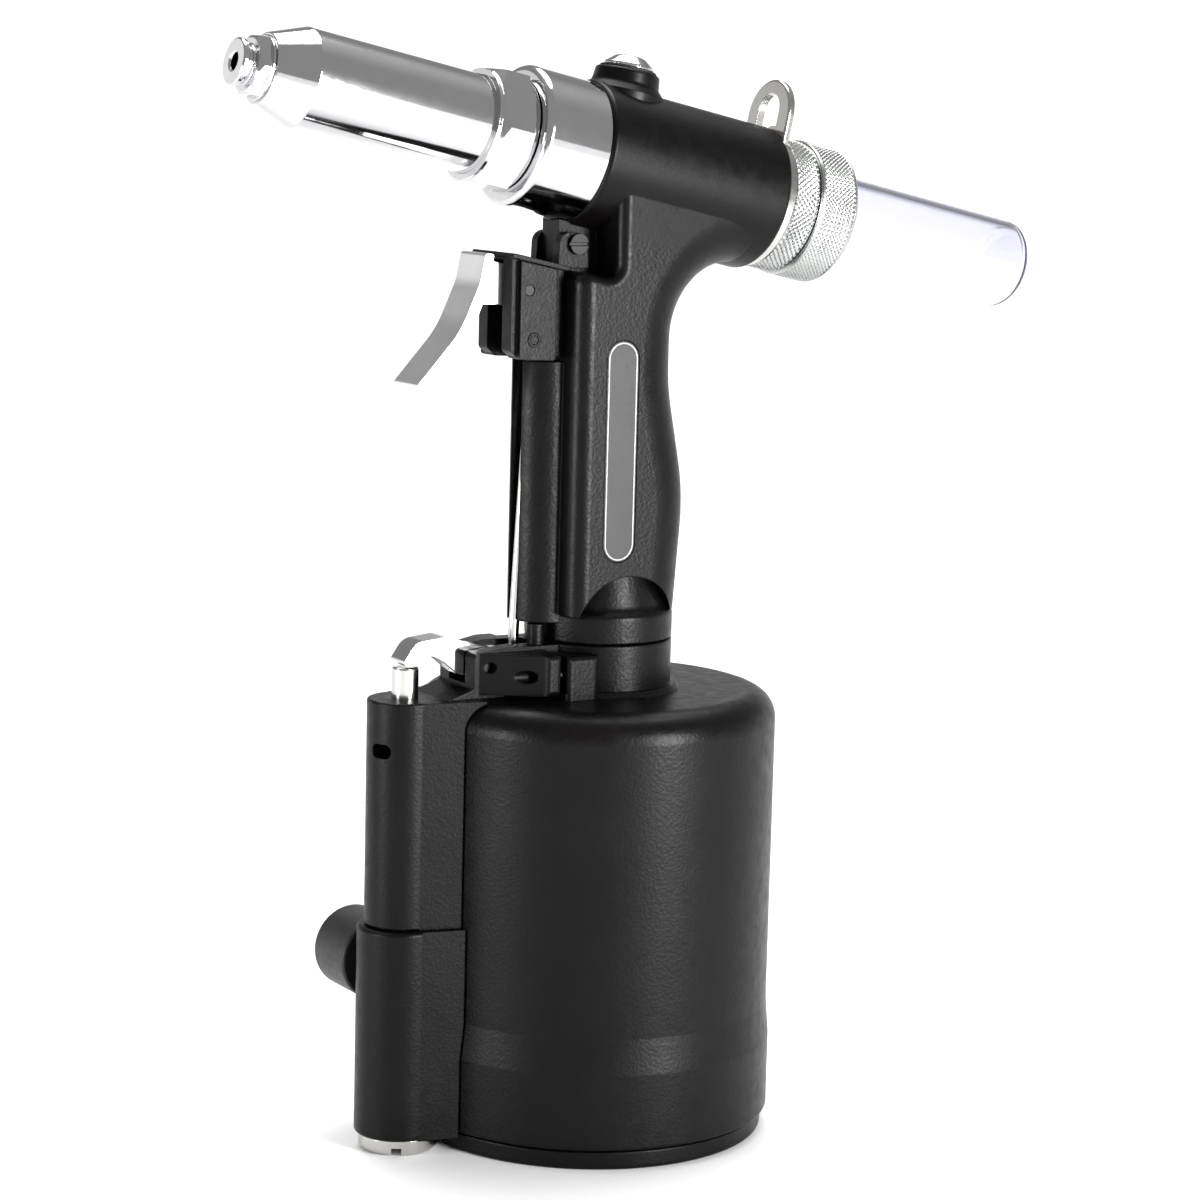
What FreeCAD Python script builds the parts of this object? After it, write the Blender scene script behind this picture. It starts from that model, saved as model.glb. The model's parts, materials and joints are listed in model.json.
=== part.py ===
import FreeCAD, Part
import math
import os

# Air-hydraulic rivet gun. Millimetres. The origin is on the air cylinder's axis, at the base
# cover's bottom face. +X is forward, towards the nosepiece; +Y is the tool's left; +Z is up.
# Lengths along the barrel are counted as s from the point where its axis crosses the cylinder's
# axis, positive towards the nose, and t is square to that axis, upwards.

V = FreeCAD.Vector

# ---- driving dimensions -------------------------------------------------------------------
RUN = 0.05                 # radial clearance of a running fit
GAP = 0.3                  # clearance between parts that only pass each other

BARREL_TILT = 12.0         # degrees, nose up
BARREL_Z = 237.5           # where the barrel axis crosses the cylinder axis
BARREL_R = 17.65
BARREL_FRONT_S = 10.2
BARREL_REAR_S = -42.0
HEAD_BORE_R = 12.0
HEAD_ROD_R = 7.0
FRONT_WALL_S = 9.0         # inner face of the barrel's front wall
SPIGOT_R = 13.4
SPIGOT_END_S = 20.0

COLLAR_R = 16.97
COLLAR_FRONT_S = 28.0
NUT_S = (28.3, 39.2)
NUT_FLATS = 26.9
HOUSING_R = 11.77
HOUSING_BORE_R = 8.9
HOUSING_THREAD_R = 11.3
HOUSING_TAIL_S = 20.6
CONE_S = (85.3, 94.5)
CONE_TIP_R = 8.3
NOSE_S = 101.5
NOSE_LIP_R = 5.5
NOSE_WAIST_R = 4.5
NOSE_BORE_R = 2.05
NOSE_FLATS = 13.4
NOSE_THREAD_R = 4.8

CASE_S = (40.0, 82.6)
CASE_R = 8.5
CASE_BORE_R = 6.25
CONE_ANGLE = 12.0          # half angle of the jaws' cone
CASE_MOUTH_R = 3.6
JAW_S = (71.6, 82.0)
JAW_BORE_R = 1.3

REAR_THREAD_R = 13.0
REAR_THREAD_S = -30.0
TAIL_R = 10.0
TAIL_END_S = -58.0
RING_PLATE_S = (-44.0, -42.0)
LOCK_RING_S = (-51.5, -44.0)
LOCK_RING_R = 16.4
CAP_S = (-63.0, -51.8)
CAP_R = 16.9
BOTTLE_R = 11.34
BOTTLE_WALL = 1.4
BOTTLE_END_S = -124.0
TUBE_R = 3.5

GRIP_FRONT_X = 16.5
GRIP_HALF_WIDTH = 15.7
GRIP_BOTTOM_Z = 129.5
# the grip's back as (x, z, corner radius), from the neck up into the barrel's underside
GRIP_BACK = ((-17.1, GRIP_BOTTOM_Z), (-19.2, 158.0, 60.0), (-14.0, 184.0, 50.0),
             (-14.0, 215.8, 18.0), (-44.0, 212.0))
GRIP_BACK_ROUND = 12.5
GRIP_FRONT_ROUND = 4.0
GRIP_END_S = -36.0         # the grip's web ends inside the barrel here
ARCH = (1.0, 124.3)        # centre of the arches cut in the grip's sides above the neck
ARCH_R = 14.5
ARCH_DEPTH_Y = 9.0
RECESS_X = 5.5             # front of the grip above the trigger holder
RECESS_Z = 209.9
RECESS_RIM = 2.5
LUG_X = (4.5, 16.0)        # lug in the recess that the holder's ears clasp
LUG_HALF_WIDTH = 3.8
HOLDER_SCREW = (12.5, 218.0)
HOLDER_SCREW_R = 1.55
LABEL = (4.3, 169.0)       # middle of the label
LABEL_HALF_LENGTH = 26.5
LABEL_R = 4.35
LABEL_Y = (15.05, 15.6)
COLUMN_X = 16.3
COLUMN_R = 8.3
COLUMN_Z = (127.5, 190.2)
SLOT_X = (18.0, 30.0)
SLOT_Z = (110.0, 230.0)
SLOT_HALF_WIDTH = 2.3
OIL_BORE_R = 6.05
OIL_BORE_TOP_Z = 214.0

NECK_R = 18.1
NECK_SPLIT_Z = 122.6
SHOULDER_TOP_Z = 140.5
SPIGOT_LOW_R = 13.1
SPIGOT_LOW_Z = 104.0
GLAND_THREAD_R = 10.0

CYL_R = 45.0               # lower shell
CYL_UPPER_R = 44.22
CYL_BORE_R = 41.5
CYL_TOP_Z = 110.0
CYL_SHOULDER_R = 7.0
CYL_CEILING_Z = 103.0
BAND_Z = (23.55, 32.33)
COVER_R = 43.57
COVER_TOP_Z = 4.5
PISTON_Z = (14.0, 30.0)
ROD_R = 5.0
ROD_TOP_Z = 147.0

TRIGGER_PIN = (26.7, 207.3)
TRIGGER_PIN_R = 1.25
TRIGGER_ARM = 6.95         # from the pin back to the rod
BLADE_HALF_WIDTH = 6.0
WEB_HALF_WIDTH = 3.2
HOLDER_FRONT_X = 30.8
HOLDER_HALF_WIDTH = 7.7
HOLDER_SLOT = 3.5
HOLDER_Z = (191.3, 212.2)

PULL_ROD_R = 1.3
ROD_LOW = (24.1, 120.0)    # where the pull rod passes the lever
ROD_END_Z = 114.2
ROD_NUT_Z = (114.6, 116.7)
ROD_NUT_FLATS = 4.6
ROD_PIN_R = 1.2
LEVER_PIN = (35.7, 118.0)
LEVER_PIN_R = 1.3
LEVER_HALF_WIDTH = 3.5
VALVE_X = 53.3
VALVE_UPPER_R = 9.0
VALVE_LOWER_R = 10.7
VALVE_UPPER_BACK = 11.9    # half width of the flanks where they meet the cylinder
VALVE_LOWER_BACK = 13.1
VALVE_SPLIT_Z = 55.6
VALVE_TOP_Z = 110.5
VALVE_LOW_Z = 4.0
VALVE_BORE_R = 6.0
PUSHER_R = 3.2
PUSHER_TOP_Z = 118.1
SPOOL_TOP_Z = 92.0
SPOOL_LANDS = ((48.0, 54.0), (64.0, 70.0), (86.0, SPOOL_TOP_Z))
SPRING_SEAT_Z = 16.2
HOUSING_GROOVE = ((6.5, 7.9), (54.2, 57.0))
ARM_HALF_WIDTH = 8.5
EAR_X = (20.6, 24.9)       # ears of the valve's arm
EAR_Z = (111.4, 121.2)
NECK_LUG_X = (10.4, 19.2)  # lugs beside the cylinder's neck that the ears screw to
NECK_LUG_TOP_Z = 120.6
LUG_Y = (9.0, 18.2)
CLAMP_SCREW = (14.6, 116.0)
CLAMP_SCREW_R = 1.5
CLAMP_END_X = 11.55
INLET_Z = 44.0
INLET_R = 10.2
INLET_Y = (-26.5, -10.6)
INLET_THREAD_R = 5.7       # thread core, drawn as a plain wall
INLET_THREAD_Y = -19.7
INLET_SHOULDER_Y = -17.1

# ---- helpers ------------------------------------------------------------------------------


def rounded_wire(points, plane):
    """Closed wire through (u, v) or (u, v, corner radius) points, laid on a plane."""
    corners = [(V(p[0], p[1], 0), p[2] if len(p) > 2 else 0.0) for p in points]
    runs = []
    for i, (corner, radius) in enumerate(corners):
        if radius == 0.0:
            runs.append((corner, None, corner))
            continue
        before = (corners[i - 1][0] - corner).normalize()
        after = (corners[(i + 1) % len(corners)][0] - corner).normalize()
        half = before.getAngle(after) / 2.0
        reach = radius / math.tan(half)
        middle = (before + after).normalize() * (radius / math.sin(half) - radius)
        runs.append((corner + before * reach, corner + middle, corner + after * reach))
    edges = []
    for i, (start, middle, end) in enumerate(runs):
        if middle is not None:
            edges.append(Part.Arc(plane(start), plane(middle), plane(end)).toShape())
        following = runs[(i + 1) % len(runs)][0]
        if end.distanceToPoint(following) > 1e-4:
            edges.append(Part.makeLine(plane(end), plane(following)))
    return Part.Wire(edges)


def upright(p):
    """(u, v) as (x, z)."""
    return V(p.x, 0, p.y)


def flat(p):
    """(u, v) as (x, y)."""
    return V(p.x, p.y, 0)


def turned(points):
    """Solid of revolution about the X axis from (s, r) points."""
    return Part.Face(rounded_wire(points, upright)).revolve(V(), V(1, 0, 0), 360)


def turned_up(points, x=0.0):
    """Solid of revolution about a vertical axis at x, from (r, z) points."""
    body = Part.Face(rounded_wire(points, upright)).revolve(V(), V(0, 0, 1), 360)
    body.translate(V(x, 0, 0))
    return body


def side_plate(points, y_low, y_high):
    """An (x, z) outline made thick along Y."""
    body = Part.Face(rounded_wire(points, upright)).extrude(V(0, y_high - y_low, 0))
    body.translate(V(0, y_low, 0))
    return body


def plan_plate(points, z_low, z_high):
    """An (x, y) outline made thick along Z."""
    body = Part.Face(rounded_wire(points, flat)).extrude(V(0, 0, z_high - z_low))
    body.translate(V(0, 0, z_low))
    return body


def rod_x(radius, s_low, s_high):
    return Part.makeCylinder(radius, s_high - s_low, V(s_low, 0, 0), V(1, 0, 0))


def rod_y(radius, x, z, y_low, y_high):
    return Part.makeCylinder(radius, y_high - y_low, V(x, y_low, z), V(0, 1, 0))


def rod_z(radius, x, y, z_low, z_high):
    return Part.makeCylinder(radius, z_high - z_low, V(x, y, z_low), V(0, 0, 1))


def box(x, y, z):
    return Part.makeBox(x[1] - x[0], y[1] - y[0], z[1] - z[0], V(x[0], y[0], z[0]))


def hexagon(flats, s_low, s_high):
    """Hexagonal bar along the X axis, a flat facing up."""
    corner = flats / math.sqrt(3.0)
    points = [(corner * math.cos(math.radians(60 * k)), corner * math.sin(math.radians(60 * k)))
              for k in range(6)]
    wire = Part.makePolygon([V(s_low, a, b) for a, b in points + points[:1]])
    return Part.Face(wire).extrude(V(s_high - s_low, 0, 0))


def on_barrel(shape):
    """Moves a shape built along the X axis onto the tilted barrel axis."""
    shape.rotate(V(), V(0, 1, 0), -BARREL_TILT)
    shape.translate(V(0, 0, BARREL_Z))
    return shape


def coil(mean_r, wire_r, length, turns):
    """Compression spring along +Z from z = 0, as long as stated over its wire."""
    pitch = (length - 2 * wire_r) / turns
    path = Part.makeHelix(pitch, pitch * turns, mean_r)
    section = Part.Wire(Part.makeCircle(wire_r, V(mean_r, 0, 0), V(0, 1, 0)))
    spring = Part.Wire(path).makePipeShell([section], True, True)
    spring.translate(V(0, 0, wire_r))
    return spring


def coil_on_barrel(mean_r, wire_r, s_low, s_high, turns):
    spring = coil(mean_r, wire_r, s_high - s_low, turns)
    spring.rotate(V(), V(0, 1, 0), 90)
    spring.translate(V(s_low, 0, 0))
    return on_barrel(spring)


def ring_on_barrel(mean_r, wire_r, s):
    return on_barrel(Part.makeTorus(mean_r, wire_r, V(s, 0, 0), V(1, 0, 0)))


# ---- nose -----------------------------------------------------------------------------------


def nosepiece():
    waist_end = NOSE_S - 1.5
    hex_end = NOSE_S - 3.3
    hex_start = CONE_S[1] + 0.7
    body = turned([
        (CASE_S[1] - 0.3, NOSE_BORE_R), (CASE_S[1] - 0.3, 2.9), (CASE_S[1] + 3.2, 3.3),
        (CASE_S[1] + 3.9, NOSE_THREAD_R), (CONE_S[1], NOSE_THREAD_R), (CONE_S[1], 7.6, 0.2),
        (hex_start, 7.6, 0.2), (hex_start, 5.4), (hex_end, 5.4), (hex_end, NOSE_WAIST_R, 0.4),
        (waist_end, NOSE_WAIST_R, 0.4), (waist_end, NOSE_LIP_R, 0.3), (NOSE_S, NOSE_LIP_R, 0.5),
        (NOSE_S, NOSE_BORE_R + 0.4), (NOSE_S - 0.4, NOSE_BORE_R)])
    flats = hexagon(NOSE_FLATS, hex_start, hex_end).cut(rod_x(5.0, hex_start, hex_end))
    corner = NOSE_FLATS / math.sqrt(3.0)
    trim = turned([(hex_start, 0), (hex_start, corner), (hex_end - 0.9, corner),
                   (hex_end, corner - 1.6), (hex_end, 0)])
    return on_barrel(body.fuse(flats.common(trim)).removeSplitter())


def jaw_housing():
    return on_barrel(turned([
        (CONE_S[1], NOSE_THREAD_R + RUN), (CONE_S[1], CONE_TIP_R, 0.3),
        (CONE_S[0], HOUSING_R, 0.8), (NUT_S[0] + 0.9, HOUSING_R), (NUT_S[0] + 0.3, HOUSING_THREAD_R),
        (HOUSING_TAIL_S, HOUSING_THREAD_R), (HOUSING_TAIL_S, HOUSING_BORE_R),
        (83.6, HOUSING_BORE_R), (86.8, NOSE_THREAD_R + RUN)]))


def hex_lock_nut():
    corner = NUT_FLATS / math.sqrt(3.0)
    face_r = NUT_FLATS / 2.0 - 0.2
    blank = hexagon(NUT_FLATS, NUT_S[0], NUT_S[1])
    trim = turned([(NUT_S[0], 0), (NUT_S[0], face_r), (NUT_S[0] + 1.0, face_r, 0.3),
                   (NUT_S[0] + 2.3, corner), (NUT_S[1] - 2.3, corner),
                   (NUT_S[1] - 1.0, face_r, 0.3), (NUT_S[1], face_r), (NUT_S[1], 0)])
    nut = blank.common(trim).cut(rod_x(HOUSING_R + 0.03, NUT_S[0] - 1, NUT_S[1] + 1))
    return on_barrel(nut)


def front_collar():
    return on_barrel(turned([
        (BARREL_FRONT_S + 0.05, SPIGOT_R + 0.03), (BARREL_FRONT_S + 0.05, COLLAR_R, 0.3),
        (COLLAR_FRONT_S, COLLAR_R, 1.6), (COLLAR_FRONT_S, HOUSING_THREAD_R + 0.03),
        (SPIGOT_END_S + 0.2, HOUSING_THREAD_R + 0.03), (SPIGOT_END_S + 0.2, SPIGOT_R + 0.03)]))


def jaw_cone_r(s):
    """Radius of the cone in the jaw case at s."""
    return CASE_MOUTH_R + (CASE_S[1] - s) * math.tan(math.radians(CONE_ANGLE))


def jaw_case():
    cone_end = CASE_S[1] - (CASE_BORE_R - CASE_MOUTH_R) / math.tan(math.radians(CONE_ANGLE))
    return on_barrel(turned([
        (CASE_S[0], 6.23), (CASE_S[0], CASE_R, 0.4), (CASE_S[1] - 1.6, CASE_R, 0.4),
        (CASE_S[1], CASE_R - 2.2, 0.4), (CASE_S[1], CASE_MOUTH_R), (cone_end, CASE_BORE_R),
        (50.0, CASE_BORE_R), (50.0, 6.23)]))


def jaw(index):
    """One of three wedges that fill the cone, with gaps that close as they grip."""
    blank = turned([
        (JAW_S[0], JAW_BORE_R), (JAW_S[0], jaw_cone_r(JAW_S[0]) - GAP - 0.05),
        (JAW_S[1], jaw_cone_r(JAW_S[1]) - GAP - 0.05), (JAW_S[1], 2.3),
        (JAW_S[1] - 1.5, JAW_BORE_R)])
    half_gap = 0.75
    reach = 2 * CASE_BORE_R
    slope = math.tan(math.radians(60.0))
    offset = half_gap / math.sin(math.radians(60.0))
    wire = Part.makePolygon([
        V(0, 0, offset), V(0, slope * reach, offset + reach), V(0, -slope * reach, offset + reach),
        V(0, 0, offset)])
    sector = Part.Face(wire).extrude(V(CASE_S[1], 0, 0))
    wedge = blank.common(sector)
    wedge.rotate(V(), V(1, 0, 0), 120.0 * index)
    return on_barrel(wedge)


def jaw_pusher():
    front = JAW_S[0] - GAP
    return on_barrel(turned([
        (front, 2.7), (front, 3.9), (front - 2.0, CASE_BORE_R - GAP, 0.3),
        (front - 6.0, CASE_BORE_R - GAP, 0.3), (front - 6.0, 4.0), (front - 9.0, 4.0),
        (front - 9.0, 2.7)]))


def jaw_spring():
    return coil_on_barrel(5.2, 0.5, 50.1, JAW_S[0] - GAP - 6.05, 5)


# ---- hydraulic head ------------------------------------------------------------------------


def head_piston():
    return on_barrel(turned([
        (50.0, TUBE_R + 0.03), (50.0, 6.2, 0.3), (CASE_S[0], 6.2), (CASE_S[0], HEAD_ROD_R, 0.3),
        (2.0, HEAD_ROD_R, 0.5), (2.0, HEAD_BORE_R - RUN, 0.4), (-0.5, HEAD_BORE_R - RUN),
        (-0.5, 9.8), (-3.5, 9.8), (-3.5, HEAD_BORE_R - RUN), (-6.0, HEAD_BORE_R - RUN, 0.4),
        (-6.0, 7.2), (-9.0, 7.2), (-9.0, TUBE_R + 0.03)]))


def mandrel_tube():
    tube = turned([(60.0, TUBE_R - 0.9), (60.0, 3.3), (50.2, 3.3), (50.2, TUBE_R),
                   (-60.0, TUBE_R), (-60.0, TUBE_R - 0.9)])
    return on_barrel(tube)


def rear_cap():
    return on_barrel(turned([
        (REAR_THREAD_S - 0.2, 11.2), (REAR_THREAD_S - 0.2, REAR_THREAD_R - 0.03),
        (LOCK_RING_S[0], REAR_THREAD_R - 0.03), (LOCK_RING_S[0], TAIL_R), (TAIL_END_S, TAIL_R, 0.5),
        (TAIL_END_S, TUBE_R + 0.08), (-38.0, TUBE_R + 0.08), (-38.0, 11.2)]))


def suspension_ring():
    loop_half = 8.85
    loop_centre = 29.8 - loop_half
    slot_half = 4.4
    slot_centre = 21.9
    low, high = RING_PLATE_S
    plate = rod_x(LOCK_RING_R, low, high)
    plate = plate.fuse(box((low, high), (-loop_half, loop_half), (0, loop_centre)))
    plate = plate.fuse(Part.makeCylinder(loop_half, high - low, V(low, 0, loop_centre), V(1, 0, 0)))
    slot = Part.makeCylinder(slot_half, 4, V(low - 1, 0, slot_centre), V(1, 0, 0))
    slot = slot.fuse(box((low - 1, low + 3), (-slot_half, slot_half), (18.2, slot_centre)))
    plate = plate.removeSplitter().cut(slot).cut(rod_x(REAR_THREAD_R + 0.02, low - 1, high + 1))
    rims = [e for e in plate.Edges if e.BoundBox.ZMax > 27.5 and e.BoundBox.XLength < 0.01]
    return on_barrel(plate.makeFillet(0.6, rims))


def rear_lock_ring():
    low, high = LOCK_RING_S
    return on_barrel(turned([(low, REAR_THREAD_R), (low, LOCK_RING_R, 0.5),
                             (high, LOCK_RING_R, 0.5), (high, REAR_THREAD_R)]))


def collector_cap():
    low, high = CAP_S
    seat = -58.6
    return on_barrel(turned([
        (high, TAIL_R + RUN), (high, CAP_R, 0.6), (low, CAP_R, 1.0), (low, BOTTLE_R + RUN),
        (seat, BOTTLE_R + RUN), (seat, TAIL_R + RUN), (-56.4, TAIL_R + RUN), (-56.4, 11.6),
        (-54.0, 11.6), (-54.0, TAIL_R + RUN)]))


def mandrel_bottle():
    mouth = -58.8
    inner = BOTTLE_R - BOTTLE_WALL
    return on_barrel(turned([
        (mouth, inner), (mouth, BOTTLE_R), (BOTTLE_END_S, BOTTLE_R, 3.2), (BOTTLE_END_S, 0),
        (BOTTLE_END_S + BOTTLE_WALL, 0), (BOTTLE_END_S + BOTTLE_WALL, inner, 1.9)]))


# ---- handle --------------------------------------------------------------------------------


def grip():
    """Flat-sided grip with a well rounded back that sweeps up under the barrel."""
    top = 236.0
    w = GRIP_HALF_WIDTH
    outline = list(GRIP_BACK) + [(GRIP_BACK[-1][0], top), (GRIP_FRONT_X, top),
                                 (GRIP_FRONT_X, GRIP_BOTTOM_Z)]
    body = side_plate(outline, -w, w)
    sides = [e for e in body.Edges if e.BoundBox.YLength < 0.01]
    back = [e for e in sides if e.BoundBox.XMax < 0 and e.BoundBox.ZMax < 217.0]
    front = [e for e in sides if e.BoundBox.XMin > GRIP_FRONT_X - 0.01]
    body = body.makeFillet(GRIP_BACK_ROUND, back).makeFillet(GRIP_FRONT_ROUND, front)
    behind = on_barrel(box((-90.0, GRIP_END_S), (-30.0, 30.0), (-60.0, 60.0)))
    rise = math.tan(math.radians(BARREL_TILT))
    ahead = 30.0
    recess = side_plate([
        (RECESS_X, RECESS_Z, 2.8), (ahead, RECESS_Z + (ahead - RECESS_X) * rise), (ahead, 245.0),
        (RECESS_X, 245.0)], -30.0, 30.0)
    arches = [rod_y(ARCH_R, ARCH[0], ARCH[1], low, high)
              for low, high in ((-w - 1.0, -ARCH_DEPTH_Y), (ARCH_DEPTH_Y, w + 1.0))]
    body = body.cut([behind, recess] + arches)
    rim = [e for e in body.Edges if abs(e.BoundBox.XMin - RECESS_X) < 0.01
           and e.BoundBox.XLength < 0.01 and e.BoundBox.YLength < 0.01]
    return body.makeFillet(RECESS_RIM, rim)


def front_column():
    """Half-round column on the grip's front, with the slot that the pull rod runs in."""
    low, high = COLUMN_Z
    column = rod_z(COLUMN_R, COLUMN_X, 0, low, high)
    column = column.fuse(box((8.0, COLUMN_X), (-COLUMN_R, COLUMN_R), (low, high)))
    return column.removeSplitter()


def rod_slot():
    """Room for the pull rod along the grip's front."""
    return box(SLOT_X, (-SLOT_HALF_WIDTH, SLOT_HALF_WIDTH), SLOT_Z)


def label_outline(grow, y_low, y_high):
    """Upright stadium on the grip's left side."""
    x, z = LABEL
    r = LABEL_R + grow
    straight = LABEL_HALF_LENGTH - LABEL_R
    body = box((x - r, x + r), (y_low, y_high), (z - straight, z + straight))
    for end in (-straight, straight):
        body = body.fuse(rod_y(r, x, z + end, y_low, y_high))
    return body.removeSplitter()


def oil_boss():
    """Round boss on the barrel's top for the oil screw."""
    return turned_up([(0, 14.0), (9.9, 14.0), (9.9, 16.6), (8.2, 18.4, 1.5), (7.8, 21.8, 0.8),
                      (0, 21.8)])


def handle_casting():
    barrel = turned([(BARREL_REAR_S, 0), (BARREL_REAR_S, BARREL_R, 1.2),
                     (BARREL_FRONT_S, BARREL_R, 1.0), (BARREL_FRONT_S, 0)])
    barrel = on_barrel(barrel.fuse(oil_boss()))
    neck = turned_up([(0, SPIGOT_LOW_Z), (SPIGOT_LOW_R, SPIGOT_LOW_Z),
                      (SPIGOT_LOW_R, NECK_SPLIT_Z), (NECK_R, NECK_SPLIT_Z, 0.4),
                      (NECK_R, GRIP_BOTTOM_Z - 0.4, 1.2), (NECK_R - 1.9, GRIP_BOTTOM_Z + 1.2, 2.0),
                      (NECK_R - 4.1, SHOULDER_TOP_Z), (0, SHOULDER_TOP_Z)])
    lug = box(LUG_X, (-LUG_HALF_WIDTH, LUG_HALF_WIDTH), (205.0, 230.0))
    body = grip().fuse([front_column(), neck, lug])
    collar_room = on_barrel(rod_x(COLLAR_R + 0.2, BARREL_FRONT_S, 40.0))
    body = body.cut(collar_room).fuse(barrel)
    body = body.fuse(on_barrel(rod_x(SPIGOT_R, 0.0, SPIGOT_END_S)))
    hollows = [
        on_barrel(turned([
            (BARREL_REAR_S - 1, 0), (BARREL_REAR_S - 1, REAR_THREAD_R),
            (REAR_THREAD_S, REAR_THREAD_R), (REAR_THREAD_S, HEAD_BORE_R),
            (FRONT_WALL_S, HEAD_BORE_R), (FRONT_WALL_S, HEAD_ROD_R + RUN),
            (12.0, HEAD_ROD_R + RUN), (12.0, 9.4), (15.0, 9.4), (15.0, HEAD_ROD_R + RUN),
            (SPIGOT_END_S + 1, HEAD_ROD_R + RUN), (SPIGOT_END_S + 1, 0)])),
        on_barrel(rod_z(3.05, 0, 0, 5.0, 30.0)),
        rod_z(OIL_BORE_R, 0, 0, SPIGOT_LOW_Z - 1, OIL_BORE_TOP_Z),
        rod_z(GLAND_THREAD_R, 0, 0, SPIGOT_LOW_Z - 1, 128.0),
        rod_z(1.8, 5.5, 0, 205.0, 228.0),
        rod_slot(),
        label_outline(0.15, LABEL_Y[0] - 0.05, GRIP_HALF_WIDTH + 1),
        rod_y(HOLDER_SCREW_R + RUN, HOLDER_SCREW[0], HOLDER_SCREW[1], -10, 10)]
    return body.cut(hollows).removeSplitter()


def label_plate():
    return label_outline(0.0, LABEL_Y[0], LABEL_Y[1])


def oil_screw():
    head = turned_up([(0, 12.0), (3.0, 12.0), (3.0, 22.4), (6.3, 22.4, 0.3), (6.1, 23.2, 0.4),
                      (3.6, 25.2, 2.5), (0, 25.7)])
    socket = hexagon(4.0, 0, 3.0)
    socket.rotate(V(), V(0, 1, 0), -90)
    socket.translate(V(0, 0, 23.4))
    return on_barrel(head.cut(socket))


def oil_screw_washer():
    return on_barrel(turned_up([(3.1, 21.85), (6.9, 21.85, 0.15), (6.9, 22.35, 0.15),
                                (3.1, 22.35)]))


# ---- trigger and linkage ---------------------------------------------------------------------


def trigger():
    """Curved blade in front, a web to the pin, and a forked arm that lifts the pull rod."""
    px, pz = TRIGGER_PIN
    blade = side_plate([
        (34.6, 215.6, 0.7), (36.9, 216.0, 0.9), (38.3, 209.0, 12.0), (43.4, 197.6, 25.0),
        (54.6, 185.2, 0.6), (52.9, 183.6, 0.6), (40.6, 196.6, 24.0), (36.1, 207.5, 12.0)],
        -BLADE_HALF_WIDTH, BLADE_HALF_WIDTH)
    web = side_plate([
        (35.6, 214.2), (29.0, 213.0, 2.0), (23.0, 210.6, 2.0), (px - TRIGGER_ARM, 210.2, 2.6),
        (px - TRIGGER_ARM - 2.9, 207.3, 2.6), (px - TRIGGER_ARM, 204.4, 2.6),
        (px, 203.2, 3.0), (32.0, 203.7), (38.8, 203.7)], -WEB_HALF_WIDTH, WEB_HALF_WIDTH)
    body = blade.fuse(web).removeSplitter()
    fork = box((10.0, px - 3.4), (-1.6, 1.6), (195.0, 220.0))
    pin_hole = rod_y(TRIGGER_PIN_R + RUN, px, pz, -10, 10)
    rod_hole = rod_y(1.95, px - TRIGGER_ARM, pz, -10, 10)
    return body.cut([fork, pin_hole, rod_hole])


def trigger_holder():
    """Guard on the grip's front that carries the trigger pin between two cheeks."""
    slope = math.tan(math.radians(BARREL_TILT))
    rear = GRIP_FRONT_X + 0.05
    top = HOLDER_Z[1]
    lift = (HOLDER_FRONT_X - rear) * slope
    core = side_plate([
        (rear, HOLDER_Z[0] + 0.2), (HOLDER_FRONT_X - 2.0, HOLDER_Z[0], 1.0),
        (HOLDER_FRONT_X, HOLDER_Z[0] + 1.6, 1.2), (HOLDER_FRONT_X, top + lift), (rear, top)],
        -HOLDER_HALF_WIDTH, HOLDER_HALF_WIDTH)
    cheek_x = (19.4, 29.2)
    cheeks = side_plate([
        (cheek_x[0], 190.6, 0.8), (cheek_x[1], 191.0, 0.8), (cheek_x[1], top + 2.0),
        (cheek_x[0], top)], -9.4, 9.4)
    rim_front = HOLDER_FRONT_X + 0.9
    rim = side_plate([
        (rear, top - 0.4), (rim_front, top - 0.4 + (rim_front - rear) * slope),
        (rim_front, top + 0.7 + (rim_front - rear) * slope, 0.5), (rear, top + 0.7)],
        -9.9, 9.9)
    ears = side_plate([(9.2, 210.8), (17.6, 211.6), (17.2, 221.0, 3.0), (9.6, 220.4, 3.0)],
                      -6.6, 6.6)
    ears = ears.cut(box((0, 30), (-3.9, 3.9), (200, 230)))
    ears = ears.cut(box((0, rear), (-10, 10), (200, 212.3)))
    marks = [rod_y(1.7, 25.4, 195.6, -9.7, 9.7)]
    marks_hole = [rod_y(1.1, 25.4, 195.6, 9.45, 12), rod_y(1.1, 25.4, 195.6, -12, -9.45)]
    body = core.fuse([cheeks, rim, ears] + marks).removeSplitter()
    slot = box((0, 50), (-HOLDER_SLOT, HOLDER_SLOT), (180, top - 0.6))
    mouth = side_plate([(24.5, 200), (40, 200), (40, top - 0.6 + 18 * slope),
                        (24.5, top - 0.6 + (24.5 - rear) * slope)], -HOLDER_SLOT, HOLDER_SLOT)
    top_slot = box((rear - 1, 24.5), (-HOLDER_SLOT, HOLDER_SLOT), (200, 230))
    pin_hole = rod_y(TRIGGER_PIN_R + 0.02, TRIGGER_PIN[0], TRIGGER_PIN[1], -12, 12)
    screw_hole = rod_y(HOLDER_SCREW_R + RUN, HOLDER_SCREW[0], HOLDER_SCREW[1], -10, 10)
    return body.cut([slot, mouth, top_slot, pin_hole, screw_hole] + marks_hole)


def holder_screw():
    x, z = HOLDER_SCREW
    shank = rod_y(HOLDER_SCREW_R, x, z, -6.6, 6.7)
    head = rod_y(2.5, x, z, 6.65, 7.9)
    slot = box((x - 3.0, x + 3.0), (7.3, 9.0), (z - 0.4, z + 0.4))
    return shank.fuse(head).removeSplitter().cut(slot)


def trigger_pin():
    return rod_y(TRIGGER_PIN_R, TRIGGER_PIN[0], TRIGGER_PIN[1], -9.2, 9.2)


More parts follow.
